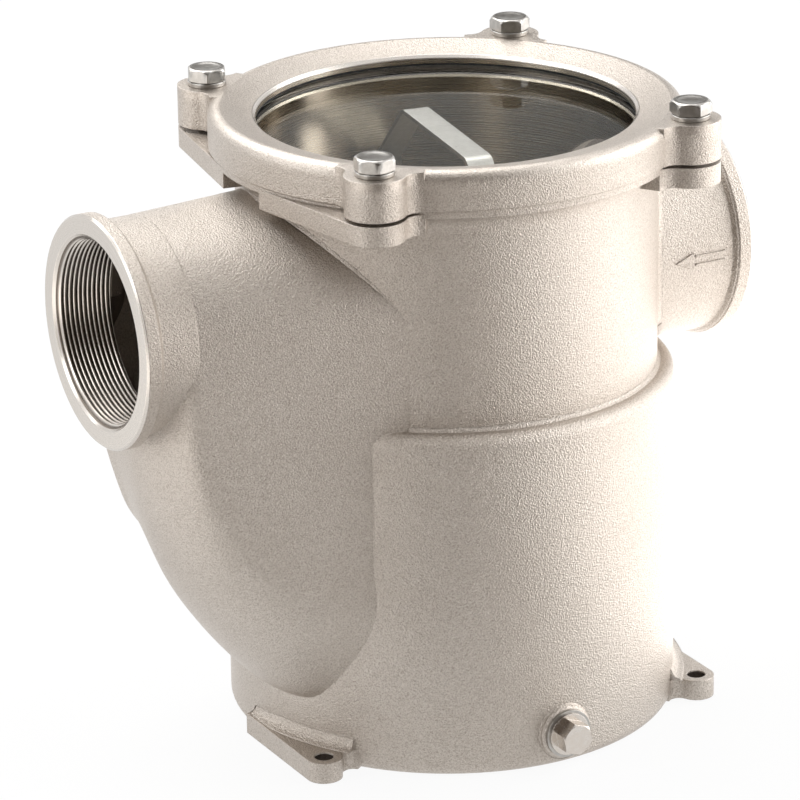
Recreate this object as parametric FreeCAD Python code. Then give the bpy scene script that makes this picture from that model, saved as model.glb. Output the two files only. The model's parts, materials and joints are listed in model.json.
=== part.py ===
"""Seawater strainer with two 3 inch pipe ports, a sight-glass cover and a lift-out basket.

Millimetres. +Z is up, the origin is the centre of the flat base. +X points to the inlet
port, -X to the outlet port, and the drain plug is on the -Y side.
"""
import FreeCAD, Part

import math
import os

os.makedirs("parts", exist_ok=True)
Vec = FreeCAD.Vector

# Pipe ports: parallel pipe thread, nominal 3 inch
THREAD_R = 43.942
THREAD_LENGTH = 28.0
THREAD_CHAMFER = 1.6
PORT_BORE_R = 41.5
PORT_Z = 214.0
OUTLET_FACE_X = -182.7
INLET_FACE_X = 135.4
OUTLET_NECK_R = 50.0
INLET_NECK_R = 52.0
COLLAR_R = 54.4
COLLAR_LENGTH = 8.0
COLLAR_BEVEL = 1.0
NECK_BEVEL = 2.0

# Vessel casting; the upper barrel's radius sets the drum, the chamber and the cover
UPPER_R = 98.6
SHOULDER_STEP = 8.2
UPPER_WALL = 9.6
WALL = 6.0
FLOOR = 8.0
BASE_ROUND = 4.5
SHOULDER_Z = 168.0
SHOULDER_ROUND = 6.0
LEDGE_RISE = 2.0
LEDGE_WIDTH = 5.0
TOP_Z = 276.0
FLANGE_BAND = 3.4
FLANGE_FILLET = 10.0
MOUTH_CHAMFER = 1.0

# Swept outlet duct: flat tapering flanks, round nose and belly
DUCT_LENGTH = 27.7
DUCT_STEP = 0.5
FLANK_SLOPE = 0.287
FLANK_RUN = 82.0
FLANK_Z = 190.0
FLANK_DROP = 107.0
BELLY_RUN = 110.0
BELLY_OVERHANG = 13.5
BELLY_Z = 175.0
BELLY_DROP = 158.5
KEEL_DROP = 70.0
DUCT_ROOT_X = -50.0
DUCT_LOWEST_Z = 28.0
DUCT_LEVELS = 9

# Cover ring, sight glass and seals, outwards from the chamber's mouth
RING_OVERHANG = 1.9
RING_LIP = 7.8
RING_EDGE_ROUND = 5.0
RING_FOOT_BEVEL = 0.6
RING_RIM = 6.0
RING_DISH = 3.8
RING_EYE_LIP = 0.8
RING_EYE_CHAMFER = 1.4
RING_GAP = 0.3
GLASS_SEAT = 8.5
GLASS_THICK = 10.0
GLASS_FIT = 0.8
GLASS_CHAMFER = 0.8
GASKET_THICK = 1.0
GASKET_SETBACK = 0.2
O_RING_SEAT = 4.2
O_RING_WIDTH = 4.0
O_RING_DEPTH = 2.6
O_RING_BEVEL = 0.8
O_RING_FIT = 0.15

# Cover bolts: four M10 hexagon bolts with spring washers
BOLT_OFFSET = 5.8
BOLT_ANGLES = (45.0, 135.0, 225.0, 315.0)
BOLT_TURNS = (34.4, 6.4, 16.4, 24.9)
BOLT_R = 5.0
BOLT_TIP_SHORT = 2.0
BOLT_TIP_CHAMFER = 0.8
BOLT_HEAD_AF = 17.0
BOLT_HEAD_HEIGHT = 6.4
THREAD_FIT = 0.05
BOLT_HOLE_R = 5.5
WASHER_OUTER_R = 9.05
WASHER_INNER_R = 5.2
WASHER_THICK = 2.2
WASHER_SLOT = 2.0
LUG_TIP_R = 14.0
LUG_FILLET = 8.0
LUG_TOP_DROP = 1.4
LUG_THICK = 9.6
EAR_ROOT_SHARE = 0.86

# Three mounting feet, given by each hole's angle and its distance outside the drum
FOOT_THICK = 10.0
FOOT_TIP_R = 8.6
FOOT_HOLE_R = 4.5
FOOT_FILLET = 5.0
FOOT_ROOT_SHARE = 0.8
FOOT_ANGLES = (-148.9954, -36.0559, 90.0)
FOOT_OFFSETS = (13.3691, 11.4519, 11.7)

# Drain
DRAIN_Z = 16.8
DRAIN_THREAD_R = 8.3
DRAIN_BOSS_R = 13.0
DRAIN_BOSS_PROUD = 2.4
DRAIN_BOSS_BEVEL = 1.2
DRAIN_WASHER_R = 11.6
DRAIN_WASHER_THICK = 1.6
DRAIN_COLLAR_R = 10.2
DRAIN_COLLAR_THICK = 1.0
DRAIN_HEAD_AF = 14.0
DRAIN_HEAD_HEIGHT = 7.4
DRAIN_HEAD_TURN = 41.0
DRAIN_SHANK = 12.0

# Basket
BASKET_GAP = 1.5
BASKET_FOOT_GAP = 8.0
BASKET_SHEET = 1.2
BASKET_RIM_THICK = 2.0
BASKET_BAND = 38.0
BASKET_RIM_DEPTH = 14.0
BASKET_FOOT_BAND = 12.0
BASKET_HOOP = 8.4
BASKET_HOLE_R = 8.0
BASKET_HOLE_COLUMNS = 16
BASKET_HOLE_ROWS = 4
BASKET_FLOOR_RINGS = 3
HANDLE_WIDTH = 12.6
HANDLE_THICK = 2.0
HANDLE_TURN = -8.6
HANDLE_TOP_GAP = 1.2
HANDLE_TOP_HALF = 42.0
HANDLE_SHOULDER_DROP = 34.0
HANDLE_LEG_DROP = 33.0
HANDLE_BEND_R = 8.0
RIVET_R = 2.5
RIVET_HEAD_R = 4.2
RIVET_HEAD_HEIGHT = 1.6
RIVET_RISES = (5.0, 14.0)

# How far cutting shapes reach past the faces they cut
OVERCUT = 1.0

# Radii that follow from the sizes above
LOWER_R = UPPER_R + SHOULDER_STEP
LOWER_CHAMBER_R = LOWER_R - WALL
CHAMBER_R = UPPER_R - UPPER_WALL
LEDGE_OPENING_R = CHAMBER_R - LEDGE_WIDTH
FLANGE_R = UPPER_R + FLANGE_FILLET
RING_R = FLANGE_R + RING_OVERHANG
RING_CREST_R = RING_R - RING_RIM
RING_EYE_R = CHAMBER_R - RING_EYE_LIP
GLASS_R = CHAMBER_R + GLASS_SEAT
O_RING_R = CHAMBER_R + O_RING_SEAT
BOLT_CIRCLE_R = RING_R + BOLT_OFFSET
BASKET_R = LEDGE_OPENING_R - BASKET_GAP - BASKET_SHEET
BASKET_RIM_R = CHAMBER_R - BASKET_GAP

# Heights that follow
LEDGE_UNDER_Z = SHOULDER_Z - WALL
LEDGE_Z = SHOULDER_Z + LEDGE_RISE
BASKET_FLOOR_Z = FLOOR + BASKET_FOOT_GAP
HANDLE_FOOT_Z = LEDGE_Z - HANDLE_LEG_DROP
GLASS_TOP_Z = TOP_Z + GLASS_THICK
LIP_Z = GLASS_TOP_Z + GASKET_THICK
RING_TOP_Z = LIP_Z + RING_LIP
RING_EYE_Z = RING_TOP_Z - RING_DISH
RING_FOOT_Z = TOP_Z + RING_GAP
LUG_TOP_Z = TOP_Z - LUG_TOP_DROP
LUG_LOW_Z = LUG_TOP_Z - LUG_THICK
BOLT_TIP_Z = LUG_LOW_Z + BOLT_TIP_SHORT

# Places along the ports' axis and the drain's axis that follow
DUCT_END_X = OUTLET_FACE_X + DUCT_LENGTH
BELLY_X = DUCT_END_X - BELLY_OVERHANG + BELLY_RUN
FLANK_X = DUCT_END_X + FLANK_RUN
FLANK_BOTTOM_Z = FLANK_Z - FLANK_DROP
FLANK_SLANT = math.sqrt(1 + FLANK_SLOPE ** 2)
DRAIN_BOSS_FACE_Y = -LOWER_R - DRAIN_BOSS_PROUD


def polar(radius, degrees, z=0.0):
    """Point at a radius and an angle about the vessel's axis."""
    angle = math.radians(degrees)
    return Vec(radius * math.cos(angle), radius * math.sin(angle), z)


def rounded_wire(corners):
    """Closed wire through (point, size) corners.

    A size above zero rounds the corner with that radius, and one below zero bevels it by that much.
    """
    arcs = []
    count = len(corners)
    for i, (corner, radius) in enumerate(corners):
        before = (corners[i - 1][0] - corner).normalize()
        after = (corners[(i + 1) % count][0] - corner).normalize()
        if radius <= 0:
            arcs.append((corner - before * radius, None, corner - after * radius))
            continue
        half = before.getAngle(after) / 2
        run = radius / math.tan(half)
        middle = (before + after).normalize()
        near = corner + middle * (radius / math.sin(half) - radius)
        arcs.append((corner + before * run, near, corner + after * run))
    edges = []
    for i, (start, middle, end) in enumerate(arcs):
        if middle is not None:
            edges.append(Part.Arc(start, middle, end).toShape())
        elif start.distanceToPoint(end) > 1e-6:
            edges.append(Part.LineSegment(start, end).toShape())
        onward = arcs[(i + 1) % count][0]
        if end.distanceToPoint(onward) > 1e-6:
            edges.append(Part.LineSegment(end, onward).toShape())
    return Part.Wire(edges)


def turned_z(profile):
    """Solid turned about the vessel's axis from (radius, height, rounding) corners."""
    wire = rounded_wire([(Vec(r, 0, z), rounding) for r, z, rounding in profile])
    return Part.Face(wire).revolve(Vec(0, 0, 0), Vec(0, 0, 1), 360)


def turned_x(profile, z=PORT_Z):
    """Solid turned about a line along X at height z from (x, radius, rounding) corners."""
    wire = rounded_wire([(Vec(x, 0, z + r), rounding) for x, r, rounding in profile])
    return Part.Face(wire).revolve(Vec(0, 0, z), Vec(1, 0, 0), 360)


def turned_y(profile, z):
    """Solid turned about a line along Y at height z from (y, radius, rounding) corners."""
    wire = rounded_wire([(Vec(0, y, z + r), rounding) for y, r, rounding in profile])
    return Part.Face(wire).revolve(Vec(0, 0, z), Vec(0, 1, 0), 360)


def upright_cylinder(radius, low, high, x=0.0, y=0.0):
    """Cylinder along Z between two heights."""
    return Part.makeCylinder(radius, high - low, Vec(x, y, low))


def hexagon(across_flats, height, start, axis, turn):
    """Hexagonal head with its outer corners turned off at 30 degrees.

    A corner stands at the angle turn about the axis.
    """
    corner_r = across_flats / math.sqrt(3)
    points = [Vec(corner_r * math.cos(k * math.pi / 3), corner_r * math.sin(k * math.pi / 3), 0)
              for k in range(7)]
    prism = Part.Face(Part.makePolygon(points)).extrude(Vec(0, 0, height))
    cone = Part.makeCone(across_flats / 2 + height / math.tan(math.radians(30)), across_flats / 2, height)
    head = prism.common(cone)
    spin = FreeCAD.Rotation(Vec(0, 0, 1), turn)
    head.Placement = FreeCAD.Placement(start, FreeCAD.Rotation(Vec(0, 0, 1), axis).multiply(spin))
    return head


def ear(angle, reach, tip_r, body_r, fillet, gusset_side, low, high):
    """Plate that carries a hole outside a round body.

    Its tip is round. On the gusset side it runs tangentially back to the body, and on the
    other side a fillet joins it. With gusset_side 0 it has a fillet on both sides.
    """
    along = polar(1, angle)
    side = gusset_side or 1
    across = Vec(along.y, -along.x, 0) * side

    def at(u, v):
        return along * u + across * v

    u = ((body_r + fillet) ** 2 + reach ** 2 - (tip_r + fillet) ** 2) / (2 * reach)
    v = math.sqrt((body_r + fillet) ** 2 - u ** 2)
    share = tip_r / (tip_r + fillet)
    tip_touch = (reach + (u - reach) * share, v * share)
    body_touch = (u * body_r / (body_r + fillet), v * body_r / (body_r + fillet))
    inward = ((tip_touch[0] + body_touch[0]) / 2 - u, (tip_touch[1] + body_touch[1]) / 2 - v)
    length = math.hypot(*inward)
    near = (u + inward[0] / length * fillet, v + inward[1] / length * fillet)
    edges = []
    if gusset_side:
        lean = math.acos((body_r - tip_r) / reach)
        normal = (math.cos(lean), math.sin(lean))
        body_start = (body_r * normal[0], body_r * normal[1])
        tip_start = (reach + tip_r * normal[0], tip_r * normal[1])
        edges.append(Part.LineSegment(at(*body_start), at(*tip_start)).toShape())
    else:
        body_start = body_touch
        tip_start = tip_touch
        edges.append(Part.Arc(at(*body_touch), at(*near), at(*tip_touch)).toShape())
    edges.append(Part.Arc(at(*tip_start), at(reach + tip_r, 0), at(tip_touch[0], -tip_touch[1])).toShape())
    edges.append(Part.Arc(at(tip_touch[0], -tip_touch[1]), at(near[0], -near[1]),
                          at(body_touch[0], -body_touch[1])).toShape())
    root_start = at(*body_start) * EAR_ROOT_SHARE
    root_end = at(body_touch[0], -body_touch[1]) * EAR_ROOT_SHARE
    edges.append(Part.LineSegment(at(body_touch[0], -body_touch[1]), root_end).toShape())
    edges.append(Part.LineSegment(root_end, root_start).toShape())
    edges.append(Part.LineSegment(root_start, at(*body_start)).toShape())
    face = Part.Face(Part.Wire(edges))
    face.translate(Vec(0, 0, low))
    return face.extrude(Vec(0, 0, high - low))


def quarter_ellipse_x(centre_x, run, centre_z, drop, z):
    """x of an ellipse that hangs down to the left of its centre; upright above the centre."""
    below = max(0.0, centre_z - z) / drop
    return centre_x - run * math.sqrt(max(0.0, 1 - below ** 2))


def flank_half_width(x, inset):
    """Distance of the duct's flat flank from the middle plane."""
    return OUTLET_NECK_R - DUCT_STEP + FLANK_SLOPE * (x - DUCT_END_X) - inset * FLANK_SLANT


def duct_section(z, inset):
    """Level outline of the duct: two flanks, a rounded nose and a closing line in the vessel."""
    nose_x = quarter_ellipse_x(BELLY_X, BELLY_RUN - inset, BELLY_Z, BELLY_DROP - inset, z)
    low_z = FLANK_BOTTOM_Z + inset
    if z >= low_z:
        corner_x = quarter_ellipse_x(FLANK_X, FLANK_RUN - inset, FLANK_Z, FLANK_DROP - inset, z)
        half = flank_half_width(corner_x, inset)
    else:
        corner_x = FLANK_X
        half = flank_half_width(corner_x, inset) * math.sqrt(1 - ((low_z - z) / KEEL_DROP) ** 2)
    root_half = half + FLANK_SLOPE * (DUCT_ROOT_X - corner_x)
    depth = corner_x - nose_x
    turn = [math.radians(t) for t in range(-90, 91, 45)]
    nose_points = [Vec(corner_x - depth * math.cos(t), half * math.sin(t), z) for t in turn]
    nose = Part.BSplineCurve()
    nose.interpolate(Points=nose_points, InitialTangent=Vec(-1, FLANK_SLOPE, 0).normalize(),
                     FinalTangent=Vec(1, FLANK_SLOPE, 0).normalize())
    root_low = Vec(DUCT_ROOT_X, -root_half, z)
    root_high = Vec(DUCT_ROOT_X, root_half, z)
    return Part.Wire([
        Part.LineSegment(root_low, nose_points[0]).toShape(),
        nose.toShape(),
        Part.LineSegment(nose_points[-1], root_high).toShape(),
        Part.LineSegment(root_high, root_low).toShape(),
    ])


def crown_section(x, inset):
    """Upright half ellipse of the duct's crown above the ports' axis."""
    half = flank_half_width(x, inset)
    rise = OUTLET_NECK_R - DUCT_STEP - inset
    arch_points = []
    for degrees in range(0, 181, 30):
        t = math.radians(degrees)
        arch_points.append(Vec(x, -half * math.cos(t), PORT_Z + rise * math.sin(t)))
    arch = Part.BSplineCurve()
    arch.interpolate(Points=arch_points, InitialTangent=Vec(0, 0, 1), FinalTangent=Vec(0, 0, -1))
    return Part.Wire([arch.toShape(), Part.LineSegment(arch_points[-1], arch_points[0]).toShape()])


def duct(inset):
    """Swept duct between the drum and the outlet neck, or its waterway when inset by the wall."""
    lowest = DUCT_LOWEST_Z + inset
    step = (PORT_Z - lowest) / (DUCT_LEVELS - 1)
    levels = [lowest + step * k for k in range(DUCT_LEVELS)]
    body = Part.makeLoft([duct_section(z, inset) for z in levels], True, False)
    crown_start = DUCT_END_X + inset
    crown = Part.makeLoft([crown_section(crown_start, inset), crown_section(0.0, inset)], True, True)
    return body.fuse(crown)


def vessel_outside():
    """Drum, shoulder, upper barrel and flange, turned in one piece."""
    return turned_z([
        (0, 0, 0),
        (LOWER_R, 0, BASE_ROUND),
        (LOWER_R, SHOULDER_Z, SHOULDER_ROUND),
        (UPPER_R, SHOULDER_Z, 0),
        (UPPER_R, TOP_Z - FLANGE_BAND, 0),
        (FLANGE_R, TOP_Z - FLANGE_BAND, 0),
        (FLANGE_R, TOP_Z, 0),
        (0, TOP_Z, 0),
    ])


def flange_fillet():
    """Concave sweep from the upper barrel out to the flange."""
    low = TOP_Z - FLANGE_BAND - FLANGE_FILLET
    high = TOP_Z - FLANGE_BAND
    start = Vec(UPPER_R, 0, low)
    end = Vec(FLANGE_R, 0, high)
    middle = Vec(UPPER_R + (FLANGE_R - UPPER_R) * (1 - math.sqrt(0.5)), 0, low + FLANGE_FILLET * math.sqrt(0.5))
    wire = Part.Wire([
        Part.Arc(start, middle, end).toShape(),
        Part.LineSegment(end, Vec(UPPER_R, 0, high)).toShape(),
        Part.LineSegment(Vec(UPPER_R, 0, high), start).toShape(),
    ])
    return Part.Face(wire).revolve(Vec(0, 0, 0), Vec(0, 0, 1), 360)


def port_outside(face_x, neck_r, root_x):
    """Neck with a collar at its face; root_x lies inside the casting."""
    way = 1 if face_x > 0 else -1
    shoulder_x = face_x - way * COLLAR_LENGTH
    return turned_x([
        (root_x, 0, 0),
        (root_x, neck_r, 0),
        (shoulder_x, neck_r, -NECK_BEVEL),
        (shoulder_x, COLLAR_R, -COLLAR_BEVEL),
        (face_x, COLLAR_R, -COLLAR_BEVEL),
        (face_x, 0, 0),
    ])


def port_bore(face_x, end_x):
    """Threaded bore with a chamfered mouth and a plain bore behind it."""
    way = 1 if face_x > 0 else -1
    return turned_x([
        (face_x + way * OVERCUT, 0, 0),
        (face_x + way * OVERCUT, THREAD_R + THREAD_CHAMFER + OVERCUT, 0),
        (face_x - way * THREAD_CHAMFER, THREAD_R, 0),
        (face_x - way * THREAD_LENGTH, THREAD_R, 0),
        (face_x - way * THREAD_LENGTH, PORT_BORE_R, 0),
        (end_x, PORT_BORE_R, 0),
        (end_x, 0, 0),
    ])


def bolt_places():
    """Angle of each cover bolt and the side its body lug's gusset runs to."""
    for angle in BOLT_ANGLES:
        place = polar(1, angle)
        yield angle, 1 if place.x * place.y > 0 else -1


def foot_places():
    """Centre of each foot's hole."""
    return [polar(LOWER_R + offset, angle) for angle, offset in zip(FOOT_ANGLES, FOOT_OFFSETS)]


def foot(x, y):
    """Mounting foot about a hole: round tip, fillets to the drum and a straight outer side.

    The side runs along Y from the tip to the middle plane of the casting.
    """
    angle = math.degrees(math.atan2(y, x))
    plate = ear(angle, math.hypot(x, y), FOOT_TIP_R, LOWER_R, FOOT_FILLET, 0, 0.0, FOOT_THICK)
    if abs(x) < FOOT_TIP_R:
        return plate
    side_x = x + math.copysign(FOOT_TIP_R, x)
    root_x = x * FOOT_ROOT_SHARE
    points = [(side_x, 0), (side_x, y), (x, y), (root_x, y * FOOT_ROOT_SHARE), (root_x, 0), (side_x, 0)]
    web = Part.Face(Part.makePolygon([Vec(*point, 0) for point in points]))
    return plate.fuse(web.extrude(Vec(0, 0, FOOT_THICK)))


def strainer_body():
    """The casting: vessel, ports, duct, feet, lugs and drain boss, with its waterways."""
    solid = vessel_outside()
    solid = solid.fuse(flange_fillet())
    solid = solid.fuse(duct(0.0))
    solid = solid.fuse(port_outside(OUTLET_FACE_X, OUTLET_NECK_R, DUCT_END_X))
    solid = solid.fuse(port_outside(INLET_FACE_X, INLET_NECK_R, CHAMBER_R / 2))
    for angle, side in bolt_places():
        solid = solid.fuse(ear(angle, BOLT_CIRCLE_R, LUG_TIP_R, FLANGE_R, LUG_FILLET, side,
                               LUG_LOW_Z, LUG_TOP_Z))
    for place in foot_places():
        solid = solid.fuse(foot(place.x, place.y))
    boss = turned_y([
        (-LOWER_CHAMBER_R, 0, 0),
        (-LOWER_CHAMBER_R, DRAIN_BOSS_R, 0),
        (DRAIN_BOSS_FACE_Y, DRAIN_BOSS_R, -DRAIN_BOSS_BEVEL),
        (DRAIN_BOSS_FACE_Y, 0, 0),
    ], DRAIN_Z)
    solid = solid.fuse(boss)
    solid = solid.cut(waterways())
    solid = solid.cut(casting_holes())
    return solid.removeSplitter()


def waterways():
    """Upper chamber, ledge opening, lower chamber, duct passage and port bores."""
    upper = turned_z([
        (0, LEDGE_Z, 0),
        (CHAMBER_R, LEDGE_Z, 0),
        (CHAMBER_R, TOP_Z - MOUTH_CHAMFER, 0),
        (CHAMBER_R + MOUTH_CHAMFER + OVERCUT, TOP_Z + OVERCUT, 0),
        (0, TOP_Z + OVERCUT, 0),
    ])
    opening = upright_cylinder(LEDGE_OPENING_R, LEDGE_UNDER_Z - WALL, LEDGE_Z + OVERCUT)
    lower = turned_z([
        (0, FLOOR, 0),
        (LOWER_CHAMBER_R, FLOOR, -WALL),
        (LOWER_CHAMBER_R, LEDGE_UNDER_Z, -WALL / 2),
        (0, LEDGE_UNDER_Z, 0),
    ])
    kept_wall = upright_cylinder(UPPER_R, LEDGE_UNDER_Z, TOP_Z)
    passage = duct(WALL).cut(kept_wall)
    outlet = port_bore(OUTLET_FACE_X, DUCT_END_X + 2 * WALL)
    inlet = port_bore(INLET_FACE_X, CHAMBER_R * 0.84)
    return upper.fuse([opening, lower, passage, outlet, inlet])


def casting_holes():
    """O-ring groove, bolt threads, foot holes and the drain thread."""
    tools = []
    groove_out = upright_cylinder(O_RING_R + O_RING_WIDTH / 2 + O_RING_FIT, TOP_Z - O_RING_DEPTH, TOP_Z + OVERCUT)
    groove_in = upright_cylinder(O_RING_R - O_RING_WIDTH / 2 - O_RING_FIT, TOP_Z - O_RING_DEPTH, TOP_Z + OVERCUT)
    tools.append(groove_out.cut(groove_in))
    for angle in BOLT_ANGLES:
        place = polar(BOLT_CIRCLE_R, angle)
        tools.append(upright_cylinder(BOLT_R + THREAD_FIT, LUG_LOW_Z - OVERCUT, TOP_Z + OVERCUT, place.x, place.y))
    for place in foot_places():
        tools.append(upright_cylinder(FOOT_HOLE_R, -OVERCUT, FOOT_THICK + OVERCUT, place.x, place.y))
    tools.append(turned_y([
        (-LOWER_CHAMBER_R + WALL, 0, 0),
        (-LOWER_CHAMBER_R + WALL, DRAIN_THREAD_R + THREAD_FIT, 0),
        (DRAIN_BOSS_FACE_Y - OVERCUT, DRAIN_THREAD_R + THREAD_FIT, 0),
        (DRAIN_BOSS_FACE_Y - OVERCUT, 0, 0),
    ], DRAIN_Z))
    return tools


def cover_ring():
    """Bolted ring: rounded rim, dished top, eye over the glass and four lugs."""
    ring = turned_z([
        (GLASS_R - WALL, RING_FOOT_Z, 0),
        (RING_R, RING_FOOT_Z, -RING_FOOT_BEVEL),
        (RING_R, RING_TOP_Z, RING_EDGE_ROUND),
        (RING_CREST_R, RING_TOP_Z, 0),
        (RING_EYE_R + RING_EYE_CHAMFER, RING_EYE_Z, 0),
        (RING_EYE_R, RING_EYE_Z - RING_EYE_CHAMFER, 0),
        (RING_EYE_R, RING_FOOT_Z, 0),
    ])
    for angle in BOLT_ANGLES:
        ring = ring.fuse(ear(angle, BOLT_CIRCLE_R, LUG_TIP_R, RING_R, LUG_FILLET, 0,
                             RING_FOOT_Z, RING_TOP_Z))
    recess = upright_cylinder(GLASS_R + GLASS_FIT, RING_FOOT_Z - OVERCUT, LIP_Z)
    eye = upright_cylinder(RING_EYE_R, RING_FOOT_Z - OVERCUT, RING_TOP_Z + OVERCUT)
    dish = turned_z([
        (0, RING_TOP_Z + OVERCUT, 0),
        (0, RING_EYE_Z - RING_EYE_CHAMFER, 0),
        (RING_EYE_R, RING_EYE_Z - RING_EYE_CHAMFER, 0),
        (RING_EYE_R + RING_EYE_CHAMFER, RING_EYE_Z, 0),
        (RING_CREST_R, RING_TOP_Z, 0),
        (RING_CREST_R, RING_TOP_Z + OVERCUT, 0),
    ])
    ring = ring.cut([recess, eye, dish])
    holes = []
    for angle in BOLT_ANGLES:
        place = polar(BOLT_CIRCLE_R, angle)
        holes.append(upright_cylinder(BOLT_HOLE_R, RING_FOOT_Z - OVERCUT, RING_TOP_Z + OVERCUT, place.x, place.y))
    return ring.cut(holes).removeSplitter()


def sight_glass():
    """Clear disc clamped between the ring's lip and the body's mouth."""
    return turned_z([
        (0, TOP_Z, 0),
        (GLASS_R - GLASS_CHAMFER, TOP_Z, 0),
        (GLASS_R, TOP_Z + GLASS_CHAMFER, 0),
        (GLASS_R, GLASS_TOP_Z - GLASS_CHAMFER, 0),
        (GLASS_R - GLASS_CHAMFER, GLASS_TOP_Z, 0),
        (0, GLASS_TOP_Z, 0),
    ])


def cover_gasket():
    """Flat ring between the glass and the cover ring's lip."""
    outer = upright_cylinder(GLASS_R - GLASS_CHAMFER, GLASS_TOP_Z, LIP_Z)
    return outer.cut(upright_cylinder(RING_EYE_R + GASKET_SETBACK, GLASS_TOP_Z - OVERCUT, LIP_Z + OVERCUT))


def body_o_ring():
    """O-ring in the body's face groove, pressed level with the face by the glass."""
    low = TOP_Z - O_RING_DEPTH
    inner = O_RING_R - O_RING_WIDTH / 2
    outer = O_RING_R + O_RING_WIDTH / 2
    return turned_z([
        (inner, low, -O_RING_BEVEL),
        (outer, low, -O_RING_BEVEL),
        (outer, TOP_Z, -O_RING_BEVEL),
        (inner, TOP_Z, -O_RING_BEVEL),
    ])


def cover_bolt(angle, turn):
    """Hexagon bolt through the ring's lug into the body's lug, with a corner of its head at turn."""
    place = polar(BOLT_CIRCLE_R, angle)
    under_head = RING_TOP_Z + WASHER_THICK
    shank = turned_z([
        (0, BOLT_TIP_Z, 0),
        (BOLT_R - BOLT_TIP_CHAMFER, BOLT_TIP_Z, 0),
        (BOLT_R, BOLT_TIP_Z + BOLT_TIP_CHAMFER, 0),
        (BOLT_R, under_head, 0),
        (0, under_head, 0),
    ])
    shank.translate(place)
    head = hexagon(BOLT_HEAD_AF, BOLT_HEAD_HEIGHT, place + Vec(0, 0, under_head), Vec(0, 0, 1),
                   turn)
    return shank.fuse(head)


def spring_washer(angle):
    """Split washer, pressed flat under a bolt head."""
    place = polar(BOLT_CIRCLE_R, angle)
    ring = upright_cylinder(WASHER_OUTER_R, RING_TOP_Z, RING_TOP_Z + WASHER_THICK)
    ring = ring.cut(upright_cylinder(WASHER_INNER_R, RING_TOP_Z - OVERCUT, RING_TOP_Z + WASHER_THICK + OVERCUT))
    slot = Part.makeBox(2 * WASHER_OUTER_R, WASHER_SLOT, WASHER_THICK + 2 * OVERCUT,
                        Vec(0, -WASHER_SLOT / 2, RING_TOP_Z - OVERCUT))
    ring = ring.cut(slot)
    ring.rotate(Vec(0, 0, 0), Vec(0, 0, 1), angle)
    ring.translate(place)
    return ring


def drain_plug():
    """Hexagon plug with a collar, screwed into the drain boss."""
    seat = DRAIN_BOSS_FACE_Y - DRAIN_WASHER_THICK
    collar_front = seat - DRAIN_COLLAR_THICK
    plug = turned_y([
        (seat + DRAIN_SHANK, 0, 0),
        (seat + DRAIN_SHANK, DRAIN_THREAD_R - BOLT_TIP_CHAMFER, 0),
        (seat + DRAIN_SHANK - BOLT_TIP_CHAMFER, DRAIN_THREAD_R, 0),
        (seat, DRAIN_THREAD_R, 0),
        (seat, DRAIN_COLLAR_R, 0),
        (collar_front, DRAIN_COLLAR_R, 0),
        (collar_front, 0, 0),
    ], DRAIN_Z)
    head = hexagon(DRAIN_HEAD_AF, DRAIN_HEAD_HEIGHT, Vec(0, collar_front, DRAIN_Z), Vec(0, -1, 0),
                   DRAIN_HEAD_TURN)
    return plug.fuse(head)


def drain_washer():
    """Flat sealing washer between the plug's collar and the boss."""
    back = DRAIN_BOSS_FACE_Y
    front = back - DRAIN_WASHER_THICK
    hole_r = DRAIN_THREAD_R + 2 * THREAD_FIT
    return turned_y([
        (back, hole_r, 0),
        (back, DRAIN_WASHER_R, 0),
        (front, DRAIN_WASHER_R, 0),
        (front, hole_r, 0),
    ], DRAIN_Z)


def basket_shell():
    """Perforated cylinder of sheet, plain at its upper band and lower hoop."""
    high = LEDGE_Z + BASKET_RIM_THICK
    shell = upright_cylinder(BASKET_R, BASKET_FLOOR_Z, high)
    shell = shell.cut(upright_cylinder(BASKET_R - BASKET_SHEET, BASKET_FLOOR_Z - OVERCUT, high + OVERCUT))
    low_z = BASKET_FLOOR_Z + BASKET_FOOT_BAND
    pitch_z = (high - BASKET_BAND - low_z) / BASKET_HOLE_ROWS
    pitch_a = 360.0 / BASKET_HOLE_COLUMNS
    cutters = []
    for row in range(BASKET_HOLE_ROWS):
        z = low_z + pitch_z * (row + 0.5)
        for column in range(BASKET_HOLE_COLUMNS):
            angle = pitch_a * (column + 0.5 * (row % 2))
            cutters.append(hexagon_hole(BASKET_R, angle, z))
    return shell.cut(cutters + rivet_holes())


def hexagon_hole(radius, angle, z):
    """Radial prism that cuts one hole of the perforated sheet."""
    points = []
    for k in range(7):
        t = k * math.pi / 3
        points.append(Vec(radius - 4 * BASKET_SHEET, BASKET_HOLE_R * math.sin(t),
                          z + BASKET_HOLE_R * math.cos(t)))
    prism = Part.Face(Part.makePolygon(points)).extrude(Vec(8 * BASKET_SHEET, 0, 0))
    prism.rotate(Vec(0, 0, 0), Vec(0, 0, 1), angle)
    return prism


def basket_floor():
    """Perforated disc at the foot of the shell."""
    radius = BASKET_R - BASKET_SHEET
    disc = upright_cylinder(radius, BASKET_FLOOR_Z, BASKET_FLOOR_Z + BASKET_SHEET)
    cutters = []
    for ring in range(BASKET_FLOOR_RINGS):
        ring_r = radius * (ring + 1) / (BASKET_FLOOR_RINGS + 1)
        count = 6 * (ring + 1)
        for k in range(count):
            cutters.append(floor_hole(ring_r, 360.0 * (k + 0.5) / count))
    return disc.cut(cutters)


def floor_hole(ring_r, angle):
    """Upright prism that cuts one hole of the basket's floor."""
    centre = polar(ring_r, angle)
    points = [centre + polar(BASKET_HOLE_R, angle + 60 * k, BASKET_FLOOR_Z - OVERCUT) for k in range(7)]
    return Part.Face(Part.makePolygon(points)).extrude(Vec(0, 0, BASKET_SHEET + 2 * OVERCUT))


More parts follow.
